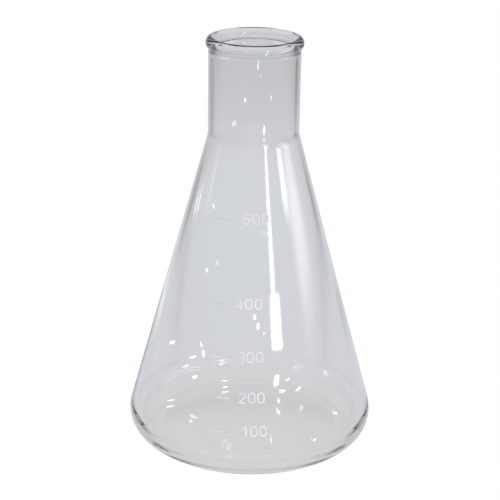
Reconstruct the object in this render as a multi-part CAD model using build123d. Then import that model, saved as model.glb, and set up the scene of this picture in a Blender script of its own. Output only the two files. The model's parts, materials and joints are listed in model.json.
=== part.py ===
from build123d import *
import os
from math import acos, atan2, cos, degrees, hypot, radians, sin, sqrt, tan

# A 500 ml narrow-neck conical (Erlenmeyer) flask of clear borosilicate glass, in millimetres.
#
# The flask is one blown glass vessel that carries a fired white enamel scale: a level line and a
# numeral for each 100 ml, and the unit beside the top numeral. Each print is its own piece.
#
# Frame: +Z runs up the flask's axis, and the origin is on that axis at the height where the foot
# rests. The scale faces -Y, with +X to its right.

# The vessel's outside
HEIGHT = 175.0
BASE_DIAMETER = 105.0
NECK_DIAMETER = 37.7
RIM_DIAMETER = 39.9
RIM_DEPTH = 5.0  # the rim is a rolled bead, a little taller than it is thick
RIM_FILLET = 0.5  # between the bead and the neck, outside and inside
MOUTH_DIAMETER = 31.9  # inside the bead, which also stands a little into the bore
MOUTH_LAND = 1.5  # height of the mouth's straight part, below the middle of the bead
MOUTH_RUNOUT = 2.7  # height over which the mouth widens to the bore
HEEL_RADIUS = 11.0  # round between foot and cone
SHOULDER_RADIUS = 15.0  # round between cone and neck
SHOULDER_HEIGHT = 134.5  # where the cone's line would meet the neck's line

# The vessel's glass
CONE_WALL = 1.9
NECK_WALL = 2.0
FLOOR = 3.2  # thickness at the foot and over the punt
PUNT_DIAMETER = 76.0  # shallow dome pushed up into the foot, inside the ring that it rests on
PUNT_RISE = 2.2

# The enamel scale. Each row is a flat transfer laid on the cone, so its places are flat too: along
# to the right and up the cone's side, from the front.
FILM = 0.08  # thickness of the fired enamel
STROKE = 0.62  # width of every printed line
ROW_HEIGHTS = {100: 22.8, 200: 36.1, 300: 52.1, 400: 73.0, 500: 106.3}  # the numerals' middles
NUMERAL_ALONG = {100: 1.9, 200: 0.8, 300: 0.0, 400: -0.8, 500: 1.5}  # the numerals' middles
NUMERAL_HEIGHT = 4.6
NUMERAL_WIDTH = 3.1  # of one figure
NUMERAL_PITCH = 3.8
ONE_PITCH = 3.1  # a figure 1 is narrow, so it stands closer to its neighbour
LINE_ALONG = -12.6  # the middle of each graduation line
LINE_LENGTH = 9.4
ROW_TILT = 1.0  # degrees that the hand-laid rows rise to the right
UNIT_FROM_NUMERAL = (2.7, -5.3)  # the unit's middle, along and up from the top numeral's
UNIT_HEIGHT = 3.4
UNIT_PITCH = 1.2  # between the four upright strokes of "ml"
SMALL_LETTER = 0.66  # height of the small letter, as a share of the tall one
PRINT_REACH = 2.0  # how far a flat print is pushed through the film, to follow the cone
FILM_MARGIN = 10.0  # the film that prints are cut from runs this far past the end rows

BASE_RADIUS = BASE_DIAMETER / 2
NECK_RADIUS = NECK_DIAMETER / 2
RIM_RADIUS = RIM_DIAMETER / 2
BORE_RADIUS = NECK_RADIUS - NECK_WALL
MOUTH_RADIUS = MOUTH_DIAMETER / 2
RIM_MIDDLE = HEIGHT - RIM_DEPTH / 2
PUNT_RADIUS = PUNT_DIAMETER / 2
PUNT_SPHERE = (PUNT_RADIUS**2 + PUNT_RISE**2) / (2 * PUNT_RISE)
PRINT_ROTATION = radians(ROW_TILT)


def cone_lean():
    """Angle between the cone's side and the axis: the side just touches the heel's round."""
    across = NECK_RADIUS - (BASE_RADIUS - HEEL_RADIUS)
    up = SHOULDER_HEIGHT - HEEL_RADIUS
    return atan2(up, across) - acos(HEEL_RADIUS / hypot(across, up))


LEAN = cone_lean()


def cone_radius(height, depth=0.0):
    """Radius of the cone's outside at a height, or of a surface this deep in the glass."""
    return NECK_RADIUS + (SHOULDER_HEIGHT - height) * tan(LEAN) - depth / cos(LEAN)


# ---------------------------------------------------------------- the glass vessel


def punt_curve(edge_height):
    """The dome of the punt, or of the floor over it, from its edge to its crown on the axis."""
    crown = edge_height + PUNT_RISE
    half = PUNT_RADIUS / 2
    half_height = crown - PUNT_SPHERE + sqrt(PUNT_SPHERE**2 - half**2)
    return ThreePointArc((PUNT_RADIUS, edge_height), (half, half_height), (0, crown))


def outside_curve(top):
    """The outside of the section, from the foot's resting ring up to the bead's underside."""
    return FilletPolyline(
        (PUNT_RADIUS, 0),
        (cone_radius(0), 0),
        (NECK_RADIUS, SHOULDER_HEIGHT),
        top,
        radius=[HEEL_RADIUS, SHOULDER_RADIUS],
    )


def inside_curve(top):
    """The inside of the section, from the bead down to the floor beside the punt."""
    land_end = RIM_MIDDLE - MOUTH_LAND
    shoulder = SHOULDER_HEIGHT + (NECK_WALL - CONE_WALL / cos(LEAN)) / tan(LEAN)
    return FilletPolyline(
        top,
        (MOUTH_RADIUS, land_end),
        (BORE_RADIUS, land_end - MOUTH_RUNOUT),
        (BORE_RADIUS, shoulder),
        (cone_radius(FLOOR, CONE_WALL), FLOOR),
        (PUNT_RADIUS, FLOOR),
        radius=[RIM_FILLET, RIM_FILLET, SHOULDER_RADIUS + NECK_WALL, HEEL_RADIUS - CONE_WALL],
    )


def rim_curve():
    """The rolled bead, from the neck's outside over the lip to the mouth."""
    half_width = (RIM_RADIUS - MOUTH_RADIUS) / 2
    middle = MOUTH_RADIUS + half_width
    start = -degrees(acos((NECK_RADIUS - middle) / half_width))
    return EllipticalCenterArc(
        (middle, RIM_MIDDLE), half_width, RIM_DEPTH / 2, start, arc_size=180 - start
    )


def make_flask_body():
    rim = rim_curve()
    outside = outside_curve(top=rim @ 0)
    inside = inside_curve(top=rim @ 1)
    floor, punt = punt_curve(FLOOR), punt_curve(0)
    axis = Line(floor @ 1, punt @ 1)
    section = make_face(outside + rim + inside + floor + axis + punt)
    under_bead = section.vertices().sort_by_distance(rim @ 0)[0]
    section = fillet(under_bead, RIM_FILLET)
    return revolve(Plane.XZ * section, Axis.Z)


# ---------------------------------------------------------------- the enamel scale


def stroke(*curves):
    """One printed line along these curves, with round ends and corners."""
    ends = [curve @ end for curve in curves for end in (0, 1)]
    dots = [Pos(end.X, end.Y) * Circle(STROKE / 2) for end in ends]
    return Sketch() + [trace(curve, STROKE) for curve in curves] + dots


def figure(digit):
    """One figure of a numeral, as a flat sketch about its own middle."""
    w = (NUMERAL_WIDTH - STROKE) / 2
    h = (NUMERAL_HEIGHT - STROKE) / 2
    if digit == "0":
        top, bottom = CenterArc((0, h - w), w, 0, 180), CenterArc((0, w - h), w, 180, 180)
        return stroke(top, bottom, Line(top @ 1, bottom @ 0), Line(bottom @ 1, top @ 0))
    if digit == "1":
        return stroke(Line((0, -h), (0, h)), Line((0, h), (-0.7 * w, 0.55 * h)))
    if digit == "2":
        top = CenterArc((0, h - w), w, 165, -205)
        return stroke(top, Line(top @ 1, (-w, -h)), Line((-w, -h), (w, -h)))
    if digit == "3":
        middle = w - h / 2
        top = CenterArc((middle, h / 2), h / 2, 145, -235)
        return stroke(top, CenterArc((middle, -h / 2), h / 2, 90, -235))
    if digit == "4":
        upright, bar = 0.4 * w, -0.4 * h
        slope = Line((upright, h), (-w, bar))
        return stroke(slope, Line((-w, bar), (w, bar)), Line((upright, h), (upright, -h)))
    bowl_radius = 0.62 * h
    bowl = CenterArc((w - bowl_radius, bowl_radius - h), bowl_radius, 140, -285)
    corner = (0.9 * (bowl @ 0).X, h)
    return stroke(bowl, Line(bowl @ 0, corner), Line(corner, (0.8 * w, h)))


def unit_letters():
    """The letters m and l, as flat sketches about the middle of the pair."""
    h = (UNIT_HEIGHT - STROKE) / 2
    arch = UNIT_PITCH / 2
    spring = SMALL_LETTER * 2 * h - h - arch  # where the small letter's arches start
    xs = [(column - 1.5) * UNIT_PITCH for column in range(4)]
    legs = [Line((x, -h), (x, spring)) for x in xs[:3]]
    arches = [CenterArc((x + arch, spring), arch, 0, 180) for x in xs[:2]]
    return [stroke(*legs, *arches), stroke(Line((xs[3], -h), (xs[3], h)))]


def transfer_plane(amount, x, y):
    """The plane that touches the cone where one point of a flat row comes to lie.

    x and y run to the right and up from the middle of the row's numeral. The flattened cone is a
    sector about its tip, and the row is straight on it, so away from the front the row leaves the
    level: the plane turns with it.
    """
    tilt = PRINT_ROTATION
    along = NUMERAL_ALONG[amount] + x * cos(tilt) - y * sin(tilt)
    from_tip = cone_radius(ROW_HEIGHTS[amount]) / sin(LEAN)
    down = from_tip - x * sin(tilt) - y * cos(tilt)
    sector_angle = atan2(along, down)
    height = ROW_HEIGHTS[amount] + (from_tip - hypot(along, down)) * cos(LEAN)
    radius = cone_radius(height)
    across, back = sin(sector_angle / sin(LEAN)), -cos(sector_angle / sin(LEAN))
    plane = Plane(
        (radius * across, radius * back, height),
        x_dir=(-back, across, 0),
        z_dir=(cos(LEAN) * across, cos(LEAN) * back, sin(LEAN)),
    )
    return plane.rotated((0, 0, degrees(tilt - sector_angle)))


def make_film():
    """A conical skin on the glass, as thick as the enamel."""
    low = min(ROW_HEIGHTS.values()) - FILM_MARGIN
    high = max(ROW_HEIGHTS.values()) + FILM_MARGIN
    section = make_face(
        Polyline(
            (cone_radius(low), low),
            (cone_radius(low, -FILM), low),
            (cone_radius(high, -FILM), high),
            (cone_radius(high), high),
            close=True,
        )
    )
    return revolve(Plane.XZ * section, Axis.Z)


FILM_SKIN = make_film()


def print_on_glass(sketch, amount, x=0.0, y=0.0):
    """The flat sketch as enamel that follows the cone, at this point of one row."""
    plane = transfer_plane(amount, x, y)
    return extrude(plane * sketch, amount=PRINT_REACH, both=True) & FILM_SKIN


def make_graduation_line(amount):
    half = (LINE_LENGTH - STROKE) / 2
    line = stroke(Line((-half, 0), (half, 0)))
    return print_on_glass(line, amount, LINE_ALONG - NUMERAL_ALONG[amount])


def make_numeral(amount):
    """The three figures of one numeral, each a solid of its own."""
    first, middle, last = str(amount)
    first_pitch = ONE_PITCH if first == "1" else NUMERAL_PITCH
    return Compound(
        [
            print_on_glass(figure(first), amount, -first_pitch),
            print_on_glass(figure(middle), amount),
            print_on_glass(figure(last), amount, NUMERAL_PITCH),
        ]
    )


def make_unit_mark():
    """The unit, below the top numeral's last figure."""
    top = max(ROW_HEIGHTS)
    return Compound([print_on_glass(letter, top, *UNIT_FROM_NUMERAL) for letter in unit_letters()])


# ---------------------------------------------------------------- the pieces

pieces = {"flask_body": make_flask_body(), "unit_mark": make_unit_mark()}
for amount in ROW_HEIGHTS:
    pieces[f"graduation_line_{amount}"] = make_graduation_line(amount)
    pieces[f"numeral_{amount}"] = make_numeral(amount)

os.makedirs("parts", exist_ok=True)
for name, piece in pieces.items():
    export_step(piece, f"parts/{name}.step")
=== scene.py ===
"""Looks of the 500 ml conical flask: clear blown glass with a white enamel scale, on a pale floor."""

import json
import random
from math import acos, atan2, cos, hypot, pi, radians, sin, sqrt, tan

import bmesh
import bpy
from mathutils import Matrix, Vector


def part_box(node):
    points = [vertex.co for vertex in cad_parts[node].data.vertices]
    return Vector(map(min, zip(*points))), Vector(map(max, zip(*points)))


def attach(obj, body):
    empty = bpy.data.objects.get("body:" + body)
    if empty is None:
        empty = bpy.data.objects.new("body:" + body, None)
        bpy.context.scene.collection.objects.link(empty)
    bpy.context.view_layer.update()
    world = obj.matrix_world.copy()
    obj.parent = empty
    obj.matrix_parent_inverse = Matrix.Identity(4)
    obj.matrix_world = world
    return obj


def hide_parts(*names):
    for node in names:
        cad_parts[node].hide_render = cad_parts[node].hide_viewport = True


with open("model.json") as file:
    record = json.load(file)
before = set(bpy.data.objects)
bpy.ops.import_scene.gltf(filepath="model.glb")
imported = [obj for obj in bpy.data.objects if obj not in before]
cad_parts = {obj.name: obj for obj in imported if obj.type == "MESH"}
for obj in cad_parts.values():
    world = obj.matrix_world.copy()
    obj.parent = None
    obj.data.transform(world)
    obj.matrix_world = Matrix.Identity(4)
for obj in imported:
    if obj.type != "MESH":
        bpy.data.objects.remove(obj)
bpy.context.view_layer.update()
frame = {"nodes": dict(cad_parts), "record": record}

MM = 0.001
MOUNTS = {mount["name"]: mount for mount in frame["record"]["mounts"]}
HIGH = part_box("flask_body")[1]

# The vessel, in metres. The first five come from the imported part, and the others repeat its section.
HEIGHT = HIGH.z
BASE_RADIUS = HIGH.x
NECK_RADIUS = MOUNTS["neck_grip"]["dims"]["r_mm"] * MM
MOUTH_RADIUS = MOUNTS["neck_mouth"]["dims"]["r_mm"] * MM
MOUTH_LAND = MOUNTS["neck_mouth"]["dims"]["length_mm"] * MM
MOUTH_RUNOUT = 2.7 * MM
RIM_RADIUS = NECK_RADIUS + 1.10 * MM
RIM_DEPTH = 5.0 * MM
RIM_FILLET = 0.5 * MM
HEEL_RADIUS = 11.0 * MM
SHOULDER_RADIUS = 15.0 * MM
SHOULDER_HEIGHT = 134.5 * MM
CONE_WALL = 1.9 * MM
NECK_WALL = 2.0 * MM
BORE_RADIUS = NECK_RADIUS - NECK_WALL
FLOOR = 3.2 * MM
PUNT_RADIUS = 38.0 * MM
PUNT_RISE = 2.2 * MM

# How finely the glass is cut into faces: steps round an arc and along a straight run, in metres, and
# counts over the bead, along the punt's dome and round the axis.
ARC_STEP = 0.4 * MM
RUN_STEP = 2 * MM
BEAD_STEPS = 48
DOME_STEPS = 30
TURN_STEPS = 256

# Blown glass is uneven by this much either way. That fades out this near the axis, and down to this
# share of itself this near the rim.
UNEVENNESS = 0.05 * MM
FADE_AT_AXIS = 10 * MM
FADE_AT_RIM = 15 * MM
LEFT_AT_RIM = 0.15

# A point nearer to the axis than this is on it, and a search is narrowed by half this many times.
ON_AXIS = 1e-7
HALVINGS = 40


def cone_lean():
    """The cone's lean: its side touches the heel's round and meets the neck's side at the shoulder."""
    across = NECK_RADIUS - (BASE_RADIUS - HEEL_RADIUS)
    up = SHOULDER_HEIGHT - HEEL_RADIUS
    return atan2(up, across) - acos(HEEL_RADIUS / hypot(across, up))


LEAN = cone_lean()


def cone_radius(height, depth=0.0):
    """The cone's outside radius at this height, or its radius this deep in the wall."""
    return NECK_RADIUS + (SHOULDER_HEIGHT - height) * tan(LEAN) - depth / cos(LEAN)


def rounded(points, radii, step):
    """The points of a polyline whose inner corners are rounded to these radii."""
    points = [Vector(p) for p in points]
    path = [points[0]]
    for before, corner, after, radius in zip(points, points[1:], points[2:], radii):
        into, out = (before - corner).normalized(), (after - corner).normalized()
        half = into.angle(out) / 2
        centre = corner + (into + out).normalized() * (radius / sin(half))
        start = corner + into * (radius / tan(half)) - centre
        turn = start.angle_signed(corner + out * (radius / tan(half)) - centre)
        count = max(4, round(abs(turn) * radius / step))
        for i in range(count + 1):
            path.append(centre + Matrix.Rotation(-turn * i / count, 2) @ start)
    path.append(points[-1])
    return path


def divided(path, step):
    """The same path with its long runs cut into steps, so that they can be shaped."""
    out = [path[0]]
    for a, b in zip(path, path[1:]):
        count = max(1, round((b - a).length / step))
        out += [a.lerp(b, i / count) for i in range(1, count + 1)]
    return out


def dome(edge_height):
    """The punt's dome, or the floor over it, from its edge to its crown on the axis."""
    sphere = (PUNT_RADIUS**2 + PUNT_RISE**2) / (2 * PUNT_RISE)
    crown = edge_height + PUNT_RISE
    radii = [PUNT_RADIUS * (1 - i / DOME_STEPS) for i in range(DOME_STEPS + 1)]
    return [Vector((r, crown - sphere + sqrt(sphere**2 - r * r))) for r in radii]


def rim_point(angle, offset=0.0):
    """A point on the rolled bead's ellipse, or this far outside it."""
    wide, tall = (RIM_RADIUS - MOUTH_RADIUS) / 2, RIM_DEPTH / 2
    outward = Vector((cos(angle) / wide, sin(angle) / tall)).normalized()
    on = Vector((RIM_RADIUS - wide + wide * cos(angle), HEIGHT - tall + tall * sin(angle)))
    return on + offset * outward


def rim_points():
    """The round under the bead, then the bead itself, over the lip to the mouth."""
    low, high = -pi / 2, 0.0
    for _ in range(HALVINGS):  # for the angle where the round touches the bead and the neck's side
        touch = (low + high) / 2
        if rim_point(touch, RIM_FILLET).x < NECK_RADIUS + RIM_FILLET:
            low = touch
        else:
            high = touch
    centre = rim_point(touch, RIM_FILLET)
    spoke = Vector((-RIM_FILLET, 0))
    turn = spoke.angle_signed(rim_point(touch) - centre)
    steps = range(BEAD_STEPS // 3)
    under = [centre + Matrix.Rotation(-turn * i / len(steps), 2) @ spoke for i in steps]
    over = [rim_point(touch + (pi - touch) * i / BEAD_STEPS) for i in range(BEAD_STEPS + 1)]
    return under + over


def vessel_section():
    """The glass's closed outline, and how many of its points are on the outside.

    It starts on the axis, under the punt, and goes up the outside, over the rim and down the inside.
    """
    rim = rim_points()
    outside = rounded(
        [(PUNT_RADIUS, 0), (cone_radius(0), 0), (NECK_RADIUS, SHOULDER_HEIGHT), rim[0]],
        [HEEL_RADIUS, SHOULDER_RADIUS],
        ARC_STEP,
    )
    land_end = rim[-1].y - MOUTH_LAND
    shoulder = SHOULDER_HEIGHT + (NECK_WALL - CONE_WALL / cos(LEAN)) / tan(LEAN)
    inside = rounded(
        [
            rim[-1],
            (MOUTH_RADIUS, land_end),
            (BORE_RADIUS, land_end - MOUTH_RUNOUT),
            (BORE_RADIUS, shoulder),
            (cone_radius(FLOOR, CONE_WALL), FLOOR),
            (PUNT_RADIUS, FLOOR),
        ],
        [RIM_FILLET, RIM_FILLET, SHOULDER_RADIUS + NECK_WALL, HEEL_RADIUS - CONE_WALL],
        ARC_STEP,
    )
    punt = dome(0)[::-1]
    up, down = divided(outside, RUN_STEP), divided(inside, RUN_STEP)
    outer_count = len(punt) - 1 + len(up) + len(rim) // 2
    return punt[:-1] + up[:-1] + rim[:-1] + down[:-1] + dome(FLOOR), outer_count


def waves(seed, count=7):
    """A faint unevenness of blown glass: how far a place on the wall stands out, by turn and height."""
    draw = random.Random(seed)
    # each has its waves round the axis, its radians per metre of height, its start and its size
    parts = [
        (draw.randint(1, 9), draw.uniform(20, 80), draw.uniform(0, 2 * pi), draw.uniform(0.4, 1))
        for _ in range(count)
    ]
    scale = UNEVENNESS / sum(part[3] for part in parts)
    return lambda turn, height: scale * sum(
        size * sin(around * turn + height * up + start) for around, up, start, size in parts
    )


def turned(name, section, outer_count):
    """A mesh of the section turned about the axis. Its first and last points are on the axis."""
    mesh = bmesh.new()
    outer, inner = waves(3), waves(8)
    turns = [2 * pi * i / TURN_STEPS for i in range(TURN_STEPS)]
    rings = []
    for index, point in enumerate(section):
        if point.x < ON_AXIS:
            rings.append([mesh.verts.new((0, 0, point.y))])
            continue
        wave = outer if index < outer_count else inner
        below_rim = max(LEFT_AT_RIM, (HEIGHT - point.y) / FADE_AT_RIM)
        ease = min(1, point.x / FADE_AT_AXIS) * min(1, below_rim)
        ring = []
        for turn in turns:
            # inwards only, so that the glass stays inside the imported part's box
            radius = point.x + ease * (wave(turn, point.y) - UNEVENNESS)
            ring.append(mesh.verts.new((radius * cos(turn), radius * sin(turn), point.y)))
        rings.append(ring)
    for low, high in zip(rings, rings[1:]):
        for i in range(TURN_STEPS):
            j = (i + 1) % TURN_STEPS
            if len(low) == 1:
                mesh.faces.new((low[0], high[j], high[i]))
            elif len(high) == 1:
                mesh.faces.new((low[i], low[j], high[0]))
            else:
                mesh.faces.new((low[i], low[j], high[j], high[i]))
    bmesh.ops.recalc_face_normals(mesh, faces=mesh.faces)
    data = bpy.data.meshes.new(name)
    mesh.to_mesh(data)
    mesh.free()
    data.shade_smooth()
    piece = bpy.data.objects.new(name, data)
    bpy.context.scene.collection.objects.link(piece)
    return piece


# ---------------------------------------------------------------- materials


def new_material(name):
    """A new material, with its nodes and its links."""
    material = bpy.data.materials.new(name)
    material.use_nodes = True
    return material, material.node_tree.nodes, material.node_tree.links


def noise(nodes, links, scale, detail, stretch=(1, 1, 1)):
    """A noise socket over the object's own coordinates, with this many waves to the metre."""
    place = nodes.new("ShaderNodeTexCoord")
    mapping = nodes.new("ShaderNodeMapping")
    mapping.inputs["Scale"].default_value = stretch
    links.new(place.outputs["Object"], mapping.inputs["Vector"])
    texture = nodes.new("ShaderNodeTexNoise")
    texture.inputs["Scale"].default_value = scale
    texture.inputs["Detail"].default_value = detail
    links.new(mapping.outputs["Vector"], texture.inputs["Vector"])
    return texture.outputs["Fac"]


def add_bump(nodes, links, height, distance):
    """Gives the shader a bump from this height socket, this deep in metres."""
    bump = nodes.new("ShaderNodeBump")
    bump.inputs["Strength"].default_value = 1.0
    bump.inputs["Distance"].default_value = distance
    links.new(height, bump.inputs["Height"])
    links.new(bump.outputs["Normal"], nodes["Principled BSDF"].inputs["Normal"])


def ramp_of(nodes, links, factor, stops, ease="LINEAR"):
    """A colour ramp through these (position, colour) stops."""
    ramp = nodes.new("ShaderNodeValToRGB")
    ramp.color_ramp.interpolation = ease
    links.new(factor, ramp.inputs["Fac"])
    elements = ramp.color_ramp.elements
    while len(elements) < len(stops):
        elements.new(0.5)
    for element, (position, colour) in zip(elements, stops):
        element.position = position
        element.color = (*colour, 1)
    return ramp.outputs["Color"]


def mixed(nodes, links, factor, first, second, blend="MIX"):
    """A mix of two colours, each a socket or three numbers."""
    mix = nodes.new("ShaderNodeMix")
    mix.data_type = "RGBA"
    mix.blend_type = blend
    links.new(factor, mix.inputs[0])
    for socket, value in ((mix.inputs[6], first), (mix.inputs[7], second)):
        if isinstance(value, bpy.types.NodeSocket):
            links.new(value, socket)
        else:
            socket.default_value = (*value, 1)
    return mix.outputs[2]


def glass_material():
    """Clear borosilicate, faintly green in the thick places, with the fine drag lines of blowing."""
    material, nodes, links = new_material("borosilicate_glass")
    shader = nodes["Principled BSDF"]
    shader.inputs["Base Color"].default_value = (0.985, 0.988, 0.985, 1)
    shader.inputs["Roughness"].default_value = 0.0
    shader.inputs["IOR"].default_value = 1.473
    shader.inputs["Transmission Weight"].default_value = 1.0
    add_bump(nodes, links, noise(nodes, links, 55, 1.5, (1, 1, 0.35)), 0.02 * MM)
    inside = nodes.new("ShaderNodeVolumeAbsorption")
    inside.inputs["Color"].default_value = (0.50, 0.54, 0.47, 1)
    inside.inputs["Density"].default_value = 22.0
    links.new(inside.outputs["Volume"], nodes["Material Output"].inputs["Volume"])
    return material


def enamel_material(name, thin, full):
    """Fired white enamel: its colour where it is rubbed thin and where it is full, with a dry face."""
    material, nodes, links = new_material(name)
    shader = nodes["Principled BSDF"]
    rubbed = ramp_of(nodes, links, noise(nodes, links, 180, 3), [(0.35, thin), (0.6, full)])
    links.new(rubbed, shader.inputs["Base Color"])
    shader.inputs["Roughness"].default_value = 0.5
    add_bump(nodes, links, noise(nodes, links, 2500, 2), 0.02 * MM)
    return material


# ---------------------------------------------------------------- pieces


def make_vessel():
    """The blown glass, which stands for the plain turned body."""
    vessel = turned("glass_vessel", *vessel_section())
    vessel.data.materials.append(glass_material())
    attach(vessel, "root")
    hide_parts("flask_body")


def paint_scale():
    """Enamel on the scale's own nodes: fuller on the figures, thinner on the lines."""
    figures = enamel_material("white_enamel", (0.80, 0.80, 0.82), (0.94, 0.94, 0.95))
    lines = enamel_material("thin_white_enamel", (0.68, 0.68, 0.70), (0.84, 0.84, 0.85))
    for name, node in frame["nodes"].items():
        if name != "flask_body":
            node.material_slots[0].material = lines if "line" in name else figures


# ---------------------------------------------------------------- stage, light and camera

# The eye sees plain white behind the flask. The next tables are what the glass sees of the studio.
WHITE = (1, 1, 1)

# The floor's paper: its colours, and the distances from the flask over which one turns into the next.
PAPER_NEAR = (0.68, 0.695, 0.74)
PAPER_FAR = (0.605, 0.595, 0.635)
PAPER_FRONT = (0.62, 0.62, 0.65)
NEAR_TO_FAR = (0.3, 0.7)
SIDE_TO_FRONT = (0.0, -0.3)
FLOOR_RADIUS = 4.0

# Ovals on that paper: painted shade in the dark ones, painted light in the bright ones, and painted
# shade
# under the flask. Name: its middle, how far it reaches away from the flask and across, how much of that
# is full before it fades, its colour.
PATCHES = {
    "painted_shade_left": ((-0.42, 0.50), 0.30, 0.28, 0.35, (0.42, 0.42, 0.42)),
    "painted_shade_far_left": ((-0.98, 0.30), 0.50, 0.50, 0.20, (0.16, 0.16, 0.16)),
    "painted_shade_right": ((0.54, 0.48), 0.36, 0.34, 0.10, (0.28, 0.28, 0.28)),
    "painted_shade_far_right": ((1.00, 0.25), 0.50, 0.50, 0.20, (0.16, 0.16, 0.16)),
    "painted_light_left": ((-0.15, 0.19), 0.08, 0.10, 0.0, (0.93, 0.91, 0.88)),
    "painted_shade_near": ((0.16, 0.18), 0.10, 0.08, 0.0, (0.57, 0.57, 0.59)),
    "painted_light_front": ((0, -0.13), 0.12, 0.12, 0.35, (0.95, 0.98, 1.05)),
    "shade_under": ((0, 0), 0.09, 0.09, 0.35, (0.70, 0.69, 0.70)),
}

# The sky: the sine of the angle up, and the colour there.
SKY = [
    (0.0, (0.70, 0.70, 0.73)),
    (0.10, (0.75, 0.77, 0.81)),
    (0.19, (0.95, 0.99, 1.06)),
    (0.26, (0.80, 0.82, 0.86)),
    (0.45, (0.70, 0.70, 0.72)),
    (1.0, (0.80, 0.80, 0.82)),
]

# How much of the sky's colour is left in its dimmed band, from the front (0), round either side, to
# the back (1), and the sines of the angles where that band fades in and out.
AROUND = [
    (0.0, (1, 1, 1)),
    (0.50, (1, 1, 1)),
    (0.66, (0.15, 0.15, 0.15)),
    (0.88, (0.13, 0.13, 0.13)),
    (0.96, (0.50, 0.50, 0.50)),
    (1.0, (0.66, 0.66, 0.66)),
]
DIM_FROM = (0.02, 0.10)
DIM_UNTIL = (0.50, 0.32)

# Soft boxes. Name: azimuth from the front towards the right, height of its middle, its width and
# height, its radiance, the share of it that fades at each edge, and its roll. Lengths are in metres
# and angles in degrees, and all of them stand this far from the axis.
LAMP_DISTANCE = 1.5
LAMPS = {
    "strip_upper": (30, 0.37, 0.18, 0.36, 10, 0.32, 0),
    "window_lower": (31, 0.230, 0.36, 0.085, 10, 0.10, -4),
    "window_side": (64.5, 0.345, 0.42, 0.17, 7, 0.42, -8),
    "high_left": (-50, 0.64, 0.22, 0.24, 7, 0.4, 0),
    "high_right": (58, 0.64, 0.22, 0.24, 7, 0.4, 0),
    "glow_right": (84, 0.22, 1.2, 0.40, 2.6, 0.4, 0),
    "glow_left": (-91, 0.225, 0.4, 0.14, 1.2, 0.5, 0),
    "rear_left": (-119, 0.020, 0.20, 0.05, 4, 0.4, 0),
}

# Small windows and lamps, far and near, that leave the glints: azimuth, height of its middle in
# metres, its width and height in millimetres, radiance, roll, and distance from the axis in metres.
# Each fades over this share of it at each edge.
GLINT_FADE = 0.42
GLINTS = [
    (-26, 0.156, 280, 1.6, 16, 4, 1.5),
    (-25, 0.149, 290, 1.6, 16, 4, 1.5),
    (-25, 0.142, 270, 1.6, 16, 4, 1.5),
    (-58, 0.120, 120, 6, 16, 3, 1.5),
    (-54, 0.122, 80, 3, 8, 9, 1.5),
    (-66, 0.071, 260, 4, 16, 9, 1.5),
    (-73, 0.028, 280, 3, 10, 10, 1.5),
    (-60, 0.066, 160, 6, 18, 8, 1.5),
    (-55, 0.028, 260, 3, 16, 6, 1.5),
    (-57, 0.015, 90, 4, 14, 6, 1.5),
    (-24, 0.058, 170, 4, 12, 1, 1.5),
    (28.5, 0.157, 200, 5, 16, -3, 1.5),
    (40, 0.128, 160, 3, 12, -4, 1.5),
    (33, 0.128, 240, 5, 14, -4, 1.5),
    (51, 0.084, 190, 5, 14, -6, 1.5),
    (29, 0.123, 100, 6, 14, -3, 1.5),
    (28, 0.110, 140, 5, 16, -6, 1.5),
    (52, 0.055, 100, 12, 5, -4, 1.5),
    (20, 0.083, 50, 14, 6, 0, 1.5),
    (54, 0.106, 300, 3, 3, -10, 1.5),
    (-76, 0.252, 200, 7, 8, 8, 1.5),
    (-67, 0.196, 110, 7, 16, 8, 1.5),
    (-52, 0.262, 150, 14, 3, 6, 1.5),
    (57, 0.0096, 33, 1.5, 16, -5, 0.3),
    (-79, 0.0107, 42, 1.2, 16, 12, 0.3),
    (-78, 0.0080, 42, 1.2, 16, 12, 0.3),
    (-95, 0.028, 35, 3, 12, 14, 0.3),
    (82, 0.0255, 25, 3, 8, -22, 0.3),
    (81, 0.0080, 14, 2, 16, -14, 0.2),
    (4.5, 0.1034, 22, 4, 16, 0, 0.3),
    (8.4, 0.0978, 22, 5, 16, 0, 0.3),
    (15, 0.0925, 20, 3, 5, 0, 0.3),
    (-51, 0.064, 24, 5, 14, 0, 0.3),
    (26, 0.061, 40, 6, 16, 0, 0.3),
]

# The camera, in metres, with its lens in millimetres and its roll in degrees.
LENS = 105.5
CAMERA_PLACE = (0, -0.5831, 0.3003)
CAMERA_AIM = (-0.0008, 0, 0.0831)
CAMERA_ROLL = 0.83

# Enough bounces for light to pass every wall of the glass, and back.
BOUNCES = 48


def maths(nodes, links, operation, first, second=0.0, third=0.0):
    """One arithmetic step on up to three values, each a socket or a number."""
    node = nodes.new("ShaderNodeMath")
    node.operation = operation
    for socket, value in zip(node.inputs, (first, second, third)):
        if isinstance(value, bpy.types.NodeSocket):
            links.new(value, socket)
        else:
            socket.default_value = value
    return node.outputs[0]


def eased(nodes, links, value, start, end):
    """0 at start and before it, 1 at end and past it, with a smooth change between."""
    node = nodes.new("ShaderNodeMapRange")
    node.interpolation_type = "SMOOTHSTEP"
    node.inputs["From Min"].default_value = start
    node.inputs["From Max"].default_value = end
    links.new(value, node.inputs["Value"])
    return node.outputs[0]


def length_of(nodes, links, place):
    """How far this place is from the origin."""
    node = nodes.new("ShaderNodeVectorMath")
    node.operation = "LENGTH"
    links.new(place, node.inputs[0])
    return node.outputs["Value"]


def white_to_the_eye(nodes, links, felt):
    """White for the rays straight from the camera, and this colour for all others."""
    path = nodes.new("ShaderNodeLightPath")
    return mixed(nodes, links, path.outputs["Is Camera Ray"], felt, WHITE)


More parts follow.
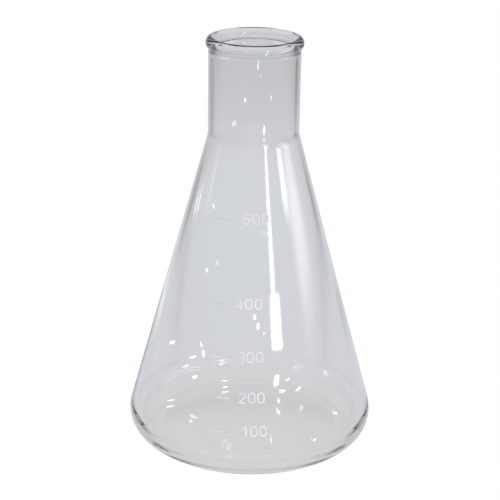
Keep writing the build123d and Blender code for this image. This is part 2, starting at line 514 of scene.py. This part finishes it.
def make_floor():
    """Pale studio paper, with ovals of painted shade and painted light that give clear glass its edges.
    """
    mesh = bmesh.new()
    bmesh.ops.create_circle(mesh, cap_ends=True, radius=FLOOR_RADIUS, segments=96)
    data = bpy.data.meshes.new("studio_floor")
    mesh.to_mesh(data)
    mesh.free()
    floor = bpy.data.objects.new("studio_floor", data)
    bpy.context.scene.collection.objects.link(floor)
    material, nodes, links = new_material("studio_paper")
    nodes.remove(nodes["Principled BSDF"])
    place = nodes.new("ShaderNodeTexCoord").outputs["Object"]
    split = nodes.new("ShaderNodeSeparateXYZ")
    links.new(place, split.inputs[0])
    front = eased(nodes, links, split.outputs["Y"], *SIDE_TO_FRONT)
    far = eased(nodes, links, length_of(nodes, links, place), *NEAR_TO_FAR)
    felt = mixed(nodes, links, far, PAPER_NEAR, PAPER_FAR)
    felt = mixed(nodes, links, front, felt, PAPER_FRONT)
    # each oval paints shade or light into the paper's colour, which only the glass sees
    for (x, y), away, across, full, colour in PATCHES.values():
        oval = nodes.new("ShaderNodeMapping")
        oval.vector_type = "TEXTURE"
        oval.inputs["Location"].default_value = (x, y, 0)
        oval.inputs["Rotation"].default_value = (0, 0, -atan2(x, y))
        oval.inputs["Scale"].default_value = (across, away, 1)
        links.new(place, oval.inputs["Vector"])
        over = eased(nodes, links, length_of(nodes, links, oval.outputs[0]), 1.0, full)
        felt = mixed(nodes, links, over, felt, colour)
    glow = nodes.new("ShaderNodeEmission")
    links.new(white_to_the_eye(nodes, links, felt), glow.inputs["Color"])
    links.new(glow.outputs[0], nodes["Material Output"].inputs["Surface"])
    data.materials.append(material)


def make_world():
    """The studio's walls and ceiling as a plain sky, dimmer in a low band round the sides and back."""
    world = bpy.data.worlds.new("studio")
    bpy.context.scene.world = world
    world.use_nodes = True
    nodes, links = world.node_tree.nodes, world.node_tree.links
    split = nodes.new("ShaderNodeSeparateXYZ")
    links.new(nodes.new("ShaderNodeTexCoord").outputs["Generated"], split.inputs[0])
    up = ramp_of(nodes, links, split.outputs["Z"], SKY, "EASE")
    backward = maths(nodes, links, "MULTIPLY_ADD", split.outputs["Y"], 0.5, 0.5)
    share = ramp_of(nodes, links, backward, AROUND, "EASE")
    low = eased(nodes, links, split.outputs["Z"], *DIM_FROM)
    high = eased(nodes, links, split.outputs["Z"], *DIM_UNTIL)
    band = maths(nodes, links, "MULTIPLY", low, high)
    felt = mixed(nodes, links, band, up, share, "MULTIPLY")
    links.new(white_to_the_eye(nodes, links, felt), nodes["Background"].inputs["Color"])


def soft_box(name, azimuth, height, width, tall, radiance, fade, roll, distance=LAMP_DISTANCE):
    """A lamp that faces the flask, fading towards its edges."""
    data = bpy.data.lights.new(name, "AREA")
    data.shape = "RECTANGLE"
    data.size, data.size_y = width, tall
    data.energy = radiance * pi * width * tall
    data.use_nodes = True
    nodes, links = data.node_tree.nodes, data.node_tree.links
    split = nodes.new("ShaderNodeSeparateXYZ")
    links.new(nodes.new("ShaderNodeNewGeometry").outputs["Parametric"], split.inputs[0])
    shares = []
    for axis in ("X", "Y"):
        off = maths(nodes, links, "ABSOLUTE", maths(nodes, links, "SUBTRACT", split.outputs[axis], 0.5))
        shares.append(eased(nodes, links, off, 0.5, 0.5 - fade))
    links.new(maths(nodes, links, "MULTIPLY", *shares), nodes["Emission"].inputs["Strength"])
    lamp = bpy.data.objects.new(name, data)
    bpy.context.scene.collection.objects.link(lamp)
    turn = radians(azimuth)
    lamp.location = (distance * sin(turn), -distance * cos(turn), height)
    facing = Matrix.Rotation(turn, 3, "Z") @ Matrix.Rotation(pi / 2, 3, "X")
    lamp.rotation_euler = (facing @ Matrix.Rotation(radians(roll), 3, "Z")).to_euler()
    lamp.visible_camera = False


def make_camera():
    """A long lens that looks down on the flask from in front of it, rolled by under a degree."""
    data = bpy.data.cameras.new("camera")
    data.sensor_width = 36.0
    data.lens = LENS
    data.clip_start = 0.01
    camera = bpy.data.objects.new("camera", data)
    bpy.context.scene.collection.objects.link(camera)
    camera.location = CAMERA_PLACE
    look = (Vector(CAMERA_AIM) - camera.location).to_track_quat("-Z", "Y")
    camera.rotation_euler = (look.to_matrix() @ Matrix.Rotation(radians(CAMERA_ROLL), 3, "Z")).to_euler()
    bpy.context.scene.camera = camera


make_vessel()
paint_scale()
make_floor()
make_world()
for name, setting in LAMPS.items():
    soft_box(name, *setting)
for count, (azimuth, height, width, tall, radiance, roll, distance) in enumerate(GLINTS):
    size = (width * MM, tall * MM)
    soft_box(f"glint_{count:02d}", azimuth, height, *size, radiance, GLINT_FADE, roll, distance)
make_camera()

bpy.context.scene.view_settings.view_transform = "Standard"
cycles = bpy.context.scene.cycles
cycles.max_bounces = BOUNCES
cycles.transmission_bounces = BOUNCES
cycles.glossy_bounces = BOUNCES
cycles.transparent_max_bounces = 16
